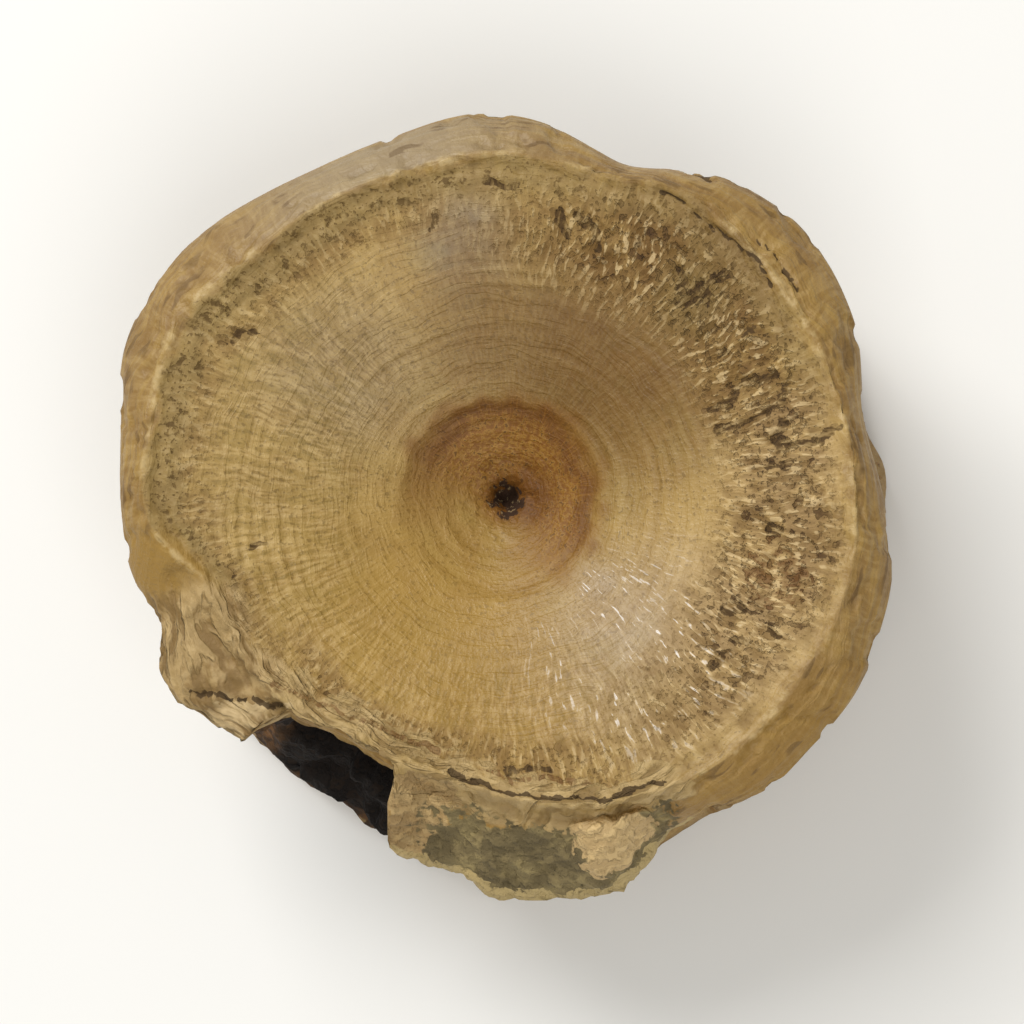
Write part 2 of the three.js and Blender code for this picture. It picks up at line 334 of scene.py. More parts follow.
def faces_between(first, first_count, second, second_count):
    """Faces between two neighbouring rings, one of which may be a point or have half the points."""
    most = max(first_count, second_count)
    faces = []
    for i in range(most):
        a = first + i * first_count // most
        b = second + i * second_count // most
        next_a = first + (i + 1) * first_count // most % first_count
        next_b = second + (i + 1) * second_count // most % second_count
        corners = [a, b, next_b, next_a]
        faces.append([c for k, c in enumerate(corners) if c != corners[k - 1]])
    return faces


def skin_mesh(points, starts):
    faces = []
    for i in range(len(starts) - 2):
        faces += faces_between(
            starts[i], starts[i + 1] - starts[i], starts[i + 1], starts[i + 2] - starts[i + 1]
        )
    mesh = bpy.data.meshes.new("vertebra_skin")
    mesh.from_pydata(points.tolist(), [], faces)
    mesh.update()
    return mesh


# ---------------------------------------------------------------- relief that time and growth left


def field(points, seed, octaves):
    """A smooth random field from about -1 to 1, one lump to each unit of the given points."""
    start = Vector((seed * 7.31, seed * 3.17, seed * 5.93))
    return np.array([noise.fractal(Vector(p) + start, 1.0, 2.0, octaves) for p in points])


def pocks(points, seed):
    """Round hollows, one to each unit of the given points: 1 in the middle of one, 0 between them."""
    start = Vector((seed * 4.71, seed * 8.27, seed * 2.39))
    nearest = np.array([noise.voronoi(Vector(p) + start)[0][0] for p in points])
    return 1 - smoothstep(nearest, 0.12, 0.48)


def band(at, low, high, soft):
    """1 between two stops on the profile and 0 outside them, with soft ends."""
    return smoothstep(at, low - soft, low + soft) * (1 - smoothstep(at, high - soft, high + soft))


SURFACE_KINDS = [
    "core", "rim", "wall", "ledge", "scrap", "stone", "plate", "septum", "crust", "porous", "hollow",
    "arch", "broken", "comb", "clear", "crest", "rings", "pores", "cracks", "smudge", "rust", "ochre",
    "grey", "painted_sheen", "umber_and_shade", "bleached", "worn", "caked", "stained", "scorch_and_shade", "pinhole", "dirt_and_groove_shade",
    "mottle", "blotches", "flaky", "coarse",
]  # fmt: skip

# Kinds that each lie in one piece: (from, to) in degrees and its edge, (from, to) on the profile and its
# edge. Then how far the edges stray: in degrees, in degrees over more than 5 mm, and on the profile.
PATCHES = {
    "worn": ((182, 202), 8, (0.95, 2.0), 0.04, 2.0, 0, 0.05),
    "ledge": ((SHELF[0] - 5, SHELF[1] + 1), 5, (0.93, 2.1), 0.05, 2.0, 0, 0.05),
    "stone": ((MATRIX[0] + 5, MATRIX[1] + 1), 8, (1.26, 2.75), 0.12, 2.0, 5, 0.10),
    "septum": ((NOTCH[1], MATRIX[0] + 9), 5, (1.04, 2.6), 0.06, 2.0, 0, 0),
    "crust": ((NOTCH[1], MATRIX[1] + 2), 5, (1.9, 2.04), 0.03, 2.0, 0, 0.04),
    "plate": (PLATE, 4, (1.16, 1.78), 0.08, 1.2, 0, 0.05),
}

# Soft round stains: where they lie, their middle's direction in degrees and distance in mm, their size in
# mm and their strength.
STAINS = {
    "clear": [("front", 80, 11, 13, 1)],
    # Painted sheen: a paler, greyer patch where the key light's sheen falls on the cone's lower right, and a
    # small one at the core's edge.
    "painted_sheen": [("front", 312, 15.5, 11, 1), ("front", 319, 9.8, 3.5, 0.9)],
    "bleached": [("front", 335, 21, 12, 1), ("front", 5, 22, 9, 0.8)],
    "ochre": [
        ("front", 238, 12, 16, 0.85), ("front", 268, 16, 16, 1),
        ("front rim", 318, 29, 15, 1), ("back", 340, 13, 15, 0.8),
    ],
    "grey": [
        ("front", 97, 20.4, 6, 1), ("front", 140, 16, 9, 0.5),
        ("front rim", 108, 30, 18, 1), ("back", 30, 17, 11, 0.8),
    ],
    # Brown stains. On the front's upper right they are partly painted shade, where the slope faces away from
    # the light, and the weak one at 268 degrees darkens the cone's bottom. Those on the back are stains.
    "umber_and_shade": [
        ("front", 52, 15, 15, 1), ("front", 47, 23, 10, 1), ("front", 92, 13.5, 8, 0.6),
        ("front", 268, 17, 10, 0.25), ("back", 150, 17, 14, 1), ("back", 265, 22, 11, 1),
    ],
    # A dark patch at the core's upper right, partly painted shade.
    "scorch_and_shade": [("front", 45, 1.7, 4.4, 0.95)],
    "rust": [("front", 345, 22, 4, 0.55)],
    "dirt_and_groove_shade": [("front", 46, 21.6, 4.5, 1)],
}  # fmt: skip

# Stretches of the front cone that have weathered down to the fibres: how much, (from, to) in degrees and
# its edge, (from, to) as shares of the way out to the crest and its edge, and how far that edge strays.
WEATHERED = [
    (1.0, (-52, 84), 46, (0.64, 0.93), 0.07, 0.05),
    (0.4, (96, 214), 30, (0.82, 0.95), 0.05, 0.05),
    (0.5, (216, 300), 20, (0.74, 0.97), 0.05, 0.06),
]

# Cracks seen on the front, each a line through (degrees, distance from the middle in mm), and its width.
CRACKS = [
    ([(211, 27.9), (216, 25.2), (222, 22.9)], 0.42),  # across the ledge
    ([(260, 21.0), (268, 21.7), (280, 22.9), (289, 23.9), (300, 24.7)], 0.5),  # bone from stone
    ([(57.0, 29.6), (63.0, 29.2)], 0.8),  # slit at the dip in the rim
    ([(62.0, 26.3), (58.7, 26.4), (50.1, 26.5), (41.5, 26.7), (37, 26.4)], 0.27),
    ([(47.0, 27.9), (40.0, 28.1), (34.0, 27.9)], 0.22),
]
# Dark brown smudges of dirt, most of them along the fibres.
SMUDGES = [
    ([(18.6, 17.4), (17.6, 18.9), (17.3, 20.4), (18.6, 21.6), (18.2, 23.0)], 0.75),
    ([(24.4, 17.6), (23.3, 19.4), (24.6, 21.0), (23.6, 22.2), (24.6, 23.3)], 0.8),
    ([(19.0, 22.6), (20.6, 23.2)], 0.9),
    ([(14.6, 22.4), (12.0, 21.7), (10.0, 22.0)], 1.2),
    ([(11.4, 22.4), (10.2, 24.0), (11.2, 26.4)], 0.85),
    ([(6.8, 20.4), (6.4, 21.8)], 0.8),
    ([(33.4, 22.7), (33.4, 23.4)], 1.0),
    ([(33.2, 20.1), (32.8, 20.6)], 0.8),
    ([(42.0, 21.6), (45.0, 22.6), (48.0, 21.4), (51.0, 22.4)], 0.9),
    ([(47.0, 20.6), (46.0, 22.8), (44.0, 24.2)], 0.8),
    ([(68.0, 20.6), (70.0, 22.2), (74.0, 22.4)], 1.0),
    ([(75.5, 21.0), (78.0, 22.6)], 0.8),
    ([(92.0, 24.4), (89.0, 24.0), (86.0, 24.3)], 0.6),
    ([(104.0, 21.8), (102.6, 22.4)], 0.5),
    ([(144.6, 22.9), (146.5, 23.6), (149.0, 23.8)], 0.65),
    ([(189.6, 18.2), (190.4, 20.4)], 0.4),
    ([(194.9, 19.6), (195.5, 21.4)], 0.4),
    ([(353.6, 20.6), (353.0, 21.4)], 0.8),
    ([(334.0, 19.2), (335.4, 20.0)], 1.0),
    ([(329.2, 21.0), (331.0, 21.8)], 0.9),
    ([(334.4, 23.0), (333.6, 23.6)], 0.8),
    ([(322.0, 20.4), (325.0, 20.9)], 0.8),
    ([(272.0, 20.4), (276.0, 20.4), (281.0, 21.0)], 0.6),
    ([(196, 26.6), (201, 27.3)], 1.3),
]
# Rusty seams: between the layers inside the broken rim, and a few lines through the worn right side.
SEAMS = [
    ([(219, 22.2), (229, 20.5), (239, 19.7), (257, 19.6)], 0.5),
    ([(266, 20.6), (276, 21.3), (288, 22.4)], 0.45),
    ([(349.0, 20.2), (347.6, 22.4), (346.4, 24.2)], 0.7),
    ([(343.0, 20.8), (343.6, 23.0)], 1.4),
    ([(339.0, 22.0), (341.0, 23.6)], 0.9),
]


def on_circle(degrees, radius):
    return np.array([radius * math.cos(math.radians(degrees)), radius * math.sin(math.radians(degrees))])


def near_lines(points, lines):
    """1 on any of the lines, seen from above, and 0 half a width away from them."""
    near = np.zeros(len(points))
    for corners, width in lines:
        ends = [on_circle(*corner) for corner in corners]
        for start, end in zip(ends, ends[1:], strict=False):
            along = end - start
            share = np.clip((points[:, :2] - start) @ along / (along @ along), 0, 1)
            away = np.hypot(*(points[:, :2] - start - share[:, None] * along).T)
            near = np.maximum(near, 1 - smoothstep(away, 0.15 * width, 0.6 * width))
    return near


class Surface:
    """Where each point of the skin lies on the animal, and which kind of surface it is."""

    RIM_GROWTH, WALL_GROWTH = 4, 18  # mm that the rim and the side wall count for, past the crest
    FRONT_END = 2.3  # how far down the side wall the marks seen from the front go on
    EDGE_WAVES = 2.2  # mm across each wave of the edges between kinds
    TURN_STRAY, GROWTH_STRAY = 0.035, 0.7  # how far the growth lines stray, in radians and mm

    def __init__(self, points, at, degrees):
        self.points, self.at, self.degrees = points, at, degrees
        self.east, self.north = np.cos(np.radians(degrees)), np.sin(np.radians(degrees))
        self.on_front, self.on_back = at <= FRONT_CREST_AT, at >= LAND_AT
        self.ends = (self.on_front | self.on_back) * 1.0
        self.row = np.where(self.on_back, BACK_MIDDLE_AT - at, np.minimum(at, 1))
        # Distance grown from the cone's point. Past the crest it runs on over the rim and down the side.
        crest = np.where(self.on_back, back_crest(degrees), front_crest(degrees))
        grown = RING_RADIUS * ring_share(self.row, crest / RING_RADIUS)
        rim_share = np.where(self.on_back, 0, np.clip(at - FRONT_CREST_AT, 0, 1))
        wall_share = np.where(self.on_back, 0, np.clip(at - FRONT_LIP_AT, 0, 2))
        self.reach = grown + self.RIM_GROWTH * rim_share + self.WALL_GROWTH * wall_share
        self.wander = self.uneven(self.EDGE_WAVES, 31, 3)  # what makes the edges between kinds ragged
        self.slow_wander = self.uneven(5, 37, 3)
        self.grain = 1 - 2 * np.abs(self.uneven(1.3, 11, 3))  # sharp crests, as on broken stone
        self.where = {
            "front": at < self.FRONT_END,
            "front rim": band(at, 1.01, 1.75, 0.04) + 0.4 * band(at, 1.75, 2.1, 0.04),
            "back": self.on_back,
        }
        for kind in PATCHES:
            setattr(self, kind, self._patch(kind))
        for kind in STAINS:
            setattr(self, kind, self._stain(kind))
        self._name_form()
        self._name_wear()
        self._name_core()
        self.flaky = np.maximum(self.ledge, self.broken)
        self.coarse = np.maximum.reduce([self.stone, self.septum, self.plate, self.arch, self.hollow])

    def around(self, per_turn, per_mm):
        """Coordinates that follow the rings: so many units to a turn and to each mm grown outwards."""
        k = per_turn / (2 * math.pi)
        return np.column_stack([self.east * k, self.north * k, self.reach * per_mm])

    def growth(self):
        """East, north and mm grown, for patterns that follow rings which are neither round nor even."""
        turned = np.radians(self.degrees) + self.TURN_STRAY * self.uneven(6, 33, 3)
        grown = self.reach + self.GROWTH_STRAY * self.uneven(5, 34, 3)
        return np.column_stack([np.cos(turned), np.sin(turned), grown])

    def uneven(self, size, seed, octaves):
        """A smooth random field from about -1 to 1, with lumps of a size in mm."""
        return field(self.points / size, seed, octaves)

    def _patch(self, kind):
        span, edge, (low, high), soft, stray, slow_stray, profile_stray = PATCHES[kind]
        turned = self.degrees + stray * self.wander + slow_stray * self.slow_wander
        return stretch(span, turned, edge) * band(self.at + profile_stray * self.wander, low, high, soft)

    def _stain(self, kind):
        strongest = np.zeros(len(self.points))
        for where, degrees, reach, size, strength in STAINS[kind]:
            away = np.hypot(*(self.points[:, :2] - on_circle(degrees, reach)).T)
            spot = strength * (1 - smoothstep(away, 0.15 * size, size)) * self.where[where]
            strongest = np.maximum(strongest, spot)
        return strongest

    def _name_form(self):
        """The kinds that come from the form: rims, wall, groove, pits and broken edges."""
        at, wander = self.at, self.wander
        self.rim = band(at + 0.04 * wander, 0.995, 2.15, 0.02) + band(at + 0.05 * wander, 2.9, 4.01, 0.03)
        self.wall = band(at, 2.05, 2.97, 0.06)
        self.groove = (1 - smoothstep(np.abs(self.row - GROOVE_AT), 0.004, 0.03)) * self.on_front
        self.hollow, self.arch = self._hollow()
        self.lining = np.maximum(self.hollow, self.arch)
        ragged = self.degrees + 2.0 * wander
        inside_crest = front_crest(self.degrees) - self.reach + 1.1 * wander
        torn = 1 - smoothstep(inside_crest, 1.0, 2.2) * smoothstep(ragged, MATRIX[0], MATRIX[0] + 16)
        self.broken = stretch((SHELF[1] - 4, MATRIX[1] + 4), ragged, 6) * torn
        self.broken *= (1 - smoothstep(inside_crest, 1.6, 3.0)) * (at < 1.32)
        # The flake below the crack across the ledge. Its lighter colour is a painted highlight.
        self.scrap = self.ledge * (1 - smoothstep(self.points[:, 1] + 0.5 * wander, -15.7, -15.0))
        whole = 1 - np.maximum(self.broken, self.ledge)
        self.crest = band(at + 0.010 * wander, 0.987, 1.04, 0.009) * whole

    def _name_wear(self):
        """Open bone, cracks, dirt with painted shade along the groove, and the unevenness of all colours."""
        front = self.where["front"]
        self.mottle = smoothstep(self.uneven(2.4, 35, 4), -0.25, 0.3)
        self.blotches = smoothstep(self.uneven(6, 36, 3), -0.2, 0.3)
        self.porous = self._porous()
        self.comb = stretch((126, 312), self.degrees, 50) * band(self.row, 0.44, 0.95, 0.12) * self.on_front
        lined = self.points.copy()
        lined[:, 0] += 0.45 * self.wander
        lined[:, 1] += 0.45 * self.uneven(self.EDGE_WAVES, 32, 3)
        self.cracks = near_lines(lined, CRACKS) * front
        self.smudge = near_lines(lined, SMUDGES) * front
        self.rust = np.maximum(self.rust, near_lines(lined, SEAMS) * front)
        # Partly painted shade: the belt just inside the crest on the upper left is darkened along the groove,
        # over real dirt specks.
        dirty = stretch((88, 200), self.degrees, 30) + 0.6 * stretch((20, 88), self.degrees, 20)
        dirty *= band(self.row + 0.03 * self.wander, 0.89, 0.985, 0.025) * self.on_front
        self.dirt_and_groove_shade = np.maximum(self.dirt_and_groove_shade, dirty)

    def _name_core(self):
        """The young animal's brown cone, its darker edge and middle with painted shade, and the pinhole."""
        reach, wander, ends = self.reach, self.wander, self.ends
        # Partly painted light and shade: the core's lower left is painted lighter and yellower, and its dark
        # edge lies on the upper half only, where the slope faces away from the light.
        yellowed_and_lit = 0.95 * stretch((172, 300), self.degrees, 80) * smoothstep(reach, 1.0, 3.2)
        self.core = (1 - smoothstep(reach + 0.9 * wander, 6.2, 9.0)) * (1 - yellowed_and_lit) * ends
        self.pinhole = (1 - smoothstep(reach + 0.7 * wander, 0.5, 1.9)) * ends
        dark_ring_and_shade = band(reach + 1.2 * wander, 5.9, 7.7, 1.4) * stretch((-40, 172), self.degrees, 60)
        dark_middle = 1 - smoothstep(reach + 0.5 * wander, 0.9, 2.2)
        self.scorch_and_shade = np.maximum.reduce([self.scorch_and_shade, dark_ring_and_shade, dark_middle]) * ends

    def _porous(self):
        """Where the hard skin is lost and the fibrous bone below shows: mostly right of the middle."""
        stray = field(self.around(9, 0.25), 21, 2)
        front = [
            amount * stretch(span, self.degrees, edge) * band(self.row + ragged * stray, low, high, soft)
            for amount, span, edge, (low, high), soft, ragged in WEATHERED
        ]
        back = 0.6 * band(self.row + 0.12 * stray, 0.6, 0.95, 0.08)
        back *= smoothstep(self.wander + stray, -0.3, 0.2)
        return np.where(self.on_front, np.maximum.reduce(front), back * self.on_back)

    def _hollow(self):
        """Painted shade, near black, deep inside the broken pit, and the lining of all three."""
        linings = []
        down = self.at - FRONT_LIP_AT  # the share of the way down the side wall
        for middle, half, edge, top, bottom, _ in PITS:
            across = between_pit_sides(middle, half, edge, np.clip(down, 0, 1), self.degrees)
            linings.append(across * band(down, top + 0.05, bottom - 0.08, 0.06))
        open_pit = stretch((NOTCH[0] - 7, NOTCH[1]), self.degrees, 2.4) * band(self.at, 2.02, 3.4, 0.06)
        linings.append(open_pit)
        # painted shade: the deep inside of the broken pit, which is coloured near black
        deep = stretch((NOTCH[0] - 3, NOTCH[1] - 0.5), self.degrees, 6) * band(self.at, 2.12, 3.3, 0.12)
        return deep, np.maximum.reduce(linings)


# How high each part of the relief stands over the form, or how deep it lies in it, in millimetres.
HEIGHTS = {
    "broad rings": 0.07, "fine rings": 0.05, "years": 0.045, "fibres": 0.10, "pores": 0.34, "dirt_and_groove_shade": 0.16,
    "rim lines": 0.11, "knocks": 0.3, "nibbles": 0.3, "groove": 0.10, "flakes": 0.30, "flake grain": 0.16,
    "scrap": 0.45, "stone lumps": 0.42, "stone grain": 0.16, "pit lumps": 0.35, "pit grain": 0.12,
    "pit sides": 0.55, "pit floor": 1.3, "fine ridges": 0.17, "broad ridges": 0.22, "wall lumps": 0.32,
    "wall pits": 0.45, "caked": 0.38, "slow": 0.12, "crumbs": 0.22, "cracks": 0.42, "rust": 0.15,
    "smudge": 0.18,
}  # fmt: skip


def growth_rings(s):
    """Broad bands of a few good years, and single years that draw in from 1.4 mm to 1 mm apart as the
    animal ages. They are plain in some places and worn away in others."""
    warp = s.around(3.0, 0.0)
    warp[:, 2] = s.reach + 0.5 * field(s.around(5.0, 0.12), 1, 3)
    broad = field(warp * (1, 1, 0.42), 2, 2)
    fine = field(warp * (1, 1, 1.75), 3, 3)
    years = 0.55 * s.reach + 0.012 * s.reach**2 + 0.55 * field(s.around(2.2, 0.10), 42, 3)
    single = np.cos(2 * math.pi * years) * smoothstep(field(s.around(3.5, 0.35), 43, 2), -0.35, 0.25)
    kept = 0.35 + 0.65 * smoothstep(s.uneven(7, 41, 2), -0.25, 0.35)
    s.rings = 0.5 + 0.5 * (0.6 * broad + 0.45 * fine + 0.6 * single) * kept
    rings = HEIGHTS["broad rings"] * broad + HEIGHTS["fine rings"] * fine + HEIGHTS["years"] * single
    return rings * (kept * (1 - 0.6 * s.porous) * s.ends * smoothstep(s.reach, 1.5, 4))


def gaps_between_fibres(s):
    """Slits and holes between the fibres that run outwards through the rings, from 0 to 1."""
    slits = smoothstep(field(s.around(205, 0.8), 5, 3), 0.02, 0.42)
    holes = pocks(s.around(120, 1.2), 17) * smoothstep(s.uneven(2.2, 6, 3), 0.0, 0.35)
    return np.maximum(0.75 * slits, holes)


def open_bone(s, gaps):
    """The fibres laid bare, the gaps between them, and pits in the dirty places."""
    s.pores = gaps * np.maximum(s.porous, 0.8 * s.groove)
    fibres = field(s.around(190, 0.55), 4, 2)
    bare = s.porous * (HEIGHTS["fibres"] * fibres - HEIGHTS["pores"] * gaps)
    return bare - HEIGHTS["dirt_and_groove_shade"] * s.dirt_and_groove_shade * smoothstep(s.uneven(0.9, 18, 2), 0.0, 0.4)


def worn_rims(s, gaps):
    """Fine lines round both rims, a few knocks, a nibbled crest, and the pores of the groove."""
    lines = field(s.around(7.0, 2.2), 7, 3)
    knocks = smoothstep(s.uneven(3.0, 8, 3), 0.26, 0.55)
    nibbles = band(s.at, 0.97, 1.25, 0.03) * smoothstep(s.uneven(1.7, 19, 3), 0.12, 0.5)
    rims = band(s.at, 1.05, 2.1, 0.08) + band(s.at, 2.92, 3.8, 0.08)
    rims *= HEIGHTS["rim lines"] * lines - HEIGHTS["knocks"] * knocks
    return rims - (HEIGHTS["nibbles"] * nibbles + HEIGHTS["groove"] * s.groove * gaps)


def flaked_layers(s):
    """Thin layers that have flaked one by one off the ledge and the broken edges."""
    layers = 1.15 * s.reach + 1.5 * s.uneven(4.5, 9, 2) + 0.5 * s.uneven(1.3, 22, 3)
    tread = layers - np.floor(layers)
    steps = HEIGHTS["flakes"] * (smoothstep(tread, 0.0, 0.25) - tread)
    flaked = steps + HEIGHTS["flake grain"] * s.uneven(1.2, 23, 3)
    return flaked * np.maximum(s.ledge, 0.7 * s.broken) - HEIGHTS["scrap"] * s.scrap


def hard_stone(s):
    """The stone in the filled pit and, less rough, the septum beside it."""
    filled = stretch(MATRIX, s.degrees, 8) * band(s.at, 1.1, 2.75, 0.08)
    rough = HEIGHTS["stone lumps"] * s.uneven(2.4, 10, 4) + HEIGHTS["stone grain"] * s.grain
    return np.maximum(filled, 0.7 * s.septum) * rough


def open_pits(s):
    """The rough inside of the pits, their uneven sides, and the deep floor of the broken one."""
    rough = HEIGHTS["pit lumps"] * s.uneven(1.6, 12, 4) + HEIGHTS["pit grain"] * s.grain
    sides = 4 * s.lining * (1 - s.lining)
    floor = s.hollow * band(s.at, 2.35, 3.2, 0.1)
    inside = s.lining * rough + HEIGHTS["pit sides"] * sides * s.uneven(2.3, 28, 3)
    return inside - HEIGHTS["pit floor"] * floor * smoothstep(s.uneven(3, 25, 2), -0.2, 0.3)


def caked_wall(s):
    """Ridges down the side wall, its small pits, and the dirt caked on it in patches."""
    ridges = HEIGHTS["fine ridges"] * field(s.around(110, 0.10), 13, 2)
    ridges += HEIGHTS["broad ridges"] * field(s.around(8, 0.8), 14, 3)
    pits = smoothstep(s.uneven(1.9, 24, 3), 0.3, 0.5)
    bare = s.wall * (1 - s.lining) * (1 - s.stone)
    cake = s.uneven(9, 26, 4)
    s.caked = bare * smoothstep(cake, 0.12, 0.20)
    s.stained = bare * smoothstep(cake, -0.04, 0.12)
    wall = bare * (ridges + HEIGHTS["wall lumps"] * s.uneven(3.8, 15, 4) - HEIGHTS["wall pits"] * pits)
    return wall + HEIGHTS["caked"] * s.caked


def relief(s):
    """Height of the fine relief over the form, in millimetres, along the surface's normal.

    The rings, pores, caked dirt and its stain are kept on the surface, for its colour."""
    gaps = gaps_between_fibres(s)
    slow = HEIGHTS["slow"] * s.uneven(9, 16, 2)
    crumbs = HEIGHTS["crumbs"] * s.ends * (1 - smoothstep(s.reach, 1.5, 5.5)) * s.uneven(0.8, 27, 3)
    seams = HEIGHTS["cracks"] * s.cracks + HEIGHTS["rust"] * s.rust + HEIGHTS["smudge"] * s.smudge
    height = slow + growth_rings(s) + crumbs + open_bone(s, gaps) + worn_rims(s, gaps)
    return height + flaked_layers(s) + hard_stone(s) + open_pits(s) + caked_wall(s) - seams


def store(mesh, name, values):
    """Keeps one number, or one (x, y, z), for each point of the skin where a material can read it."""
    vector = values.ndim == 2
    layer = mesh.attributes.new(name, "FLOAT_VECTOR" if vector else "FLOAT", "POINT")
    layer.data.foreach_set("vector" if vector else "value", values.astype(np.float32).ravel())


def make_skin():
    form, at, degrees, starts = form_rings()
    low, high = (np.array(corner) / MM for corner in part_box("vertebra"))
    middle = (low + high) / 2 - (form.min(0) + form.max(0)) / 2
    form = form + (middle[0], middle[1], low[2])

    mesh = skin_mesh(form, starts)
    normals = np.empty(len(form) * 3)
    mesh.vertices.foreach_get("normal", normals)
    surface = Surface(form, at, degrees)
    points = form + normals.reshape(-1, 3) * relief(surface)[:, None]
    points = np.clip(points, low, high)  # nothing passes the solid's box
    points[at == LAND_AT, 2] = low[2]  # the land stays flat
    mesh.vertices.foreach_set("co", (points * MM).ravel())
    mesh.update()
    mesh.polygons.foreach_set("use_smooth", [True] * len(mesh.polygons))

    store(mesh, "growth", surface.growth())
    for kind in SURFACE_KINDS:
        store(mesh, kind, getattr(surface, kind))
    mesh.materials.append(fossilised_cartilage("cones", ONLY_OUTSIDE))
    mesh.materials.append(fossilised_cartilage("outside", ONLY_IN_CONES))
    outside = (at > FRONT_CONE_END) & (at < BACK_CONE_START)
    mesh.polygons.foreach_set("material_index", [int(outside[face.vertices[0]]) for face in mesh.polygons])
    skin = bpy.data.objects.new("vertebra_skin", mesh)
    bpy.context.collection.objects.link(skin)
    return skin


# ---------------------------------------------------------------- finishes


def linear(hex_colour):
    """An sRGB hex colour as linear (r, g, b, 1)."""
    parts = [int(hex_colour[i : i + 2], 16) / 255 for i in (1, 3, 5)]
    return (*(c / 12.92 if c <= 0.04045 else ((c + 0.055) / 1.055) ** 2.4 for c in parts), 1)


def add(tree, kind, inputs=(), out=0, **settings):
    """Adds a node with its settings, fills or links its inputs, and gives one of its outputs."""
    made = tree.nodes.new(kind)
    for name, value in settings.items():
        setattr(made, name, value)
    for name, value in dict(inputs).items():
        if isinstance(value, bpy.types.NodeSocket):
            tree.links.new(value, made.inputs[name])
        else:
            made.inputs[name].default_value = value
    return made.outputs[out]


# Noises finer than the skin's own points. Each follows the rings ("growth", where a turn is two pi) or
# lies evenly over the surface ("place", in mm), and has so many lumps to a unit.
NOISES = {
    "years": ("growth", (3.37, 3.37, 2.6), 2),  # lines 0.4 mm apart
    "streaks": ("growth", (26.3, 26.3, 0.28), 2),  # 0.8 mm wide and four times as long
    "fibres": ("growth", (59.4, 59.4, 0.9), 2),  # a third of a millimetre wide, by one
    "layers": ("growth", (9.3, 9.3, 1.8), 2),  # 0.6 mm thick, by three millimetres
    "flakes": ("growth", (4.6, 4.6, 1.25), 3),  # 0.8 mm thick, by six
    "rough": ("place", (1.2, 1.2, 1.2), 3),  # lumps of a millimetre
    "grit": ("place", (3.2, 3.2, 3.2), 2),  # grains of a third of a millimetre
}

# What is taken from each noise: the levels that become 0 and 1. Narrow levels give sharp edges, high ones
# give dots apart from each other, and falling ones take the noise's low places.
PATTERNS = {
    "year_lines": ("years", 0.46, 0.62),
    "rim_lines": ("years", 0.40, 0.62),
    "streaks": ("streaks", 0.42, 0.60),
    "fibres": ("fibres", 0.40, 0.64),
    "flecks": ("fibres", 0.55, 0.63),
    # painted highlight: sparse white specks that stand in for the key light's glints
    "painted_glints": ("fibres", 0.62, 0.68),
    "dashes": ("fibres", 0.46, 0.36),
    "layers": ("layers", 0.40, 0.60),
    "rim_specks": ("layers", 0.56, 0.62),
    "flakes": ("flakes", 0.47, 0.53),
    "rough": ("rough", 0.38, 0.62),
    "specks": ("rough", 0.57, 0.63),
    "grit": ("grit", 0.38, 0.64),
    "freckles": ("grit", 0.60, 0.66),
}

# Kinds with a sharp ragged edge, and how far that edge strays from the mask's own. The edge itself lies
# between these two levels of the strayed mask.
EDGE_LOW, EDGE_HIGH = 0.42, 0.58
RAGGED = {
    "stone": 0.5, "plate": 0.5, "septum": 0.5, "crust": 0.8, "broken": 0.6,
    "cracks": 0.5, "smudge": 0.75, "rust": 0.8, "scrap": 0.6, "arch": 0.45, "caked": 0.4,
    "stained": 0.6, "pinhole": 0.6,
}  # fmt: skip

SOUND_COLOUR, SOUND_ROUGHNESS = "#AB8C4D", 0.42  # the tan, satin surface under all else
PHOSPHATE_IOR = 1.45

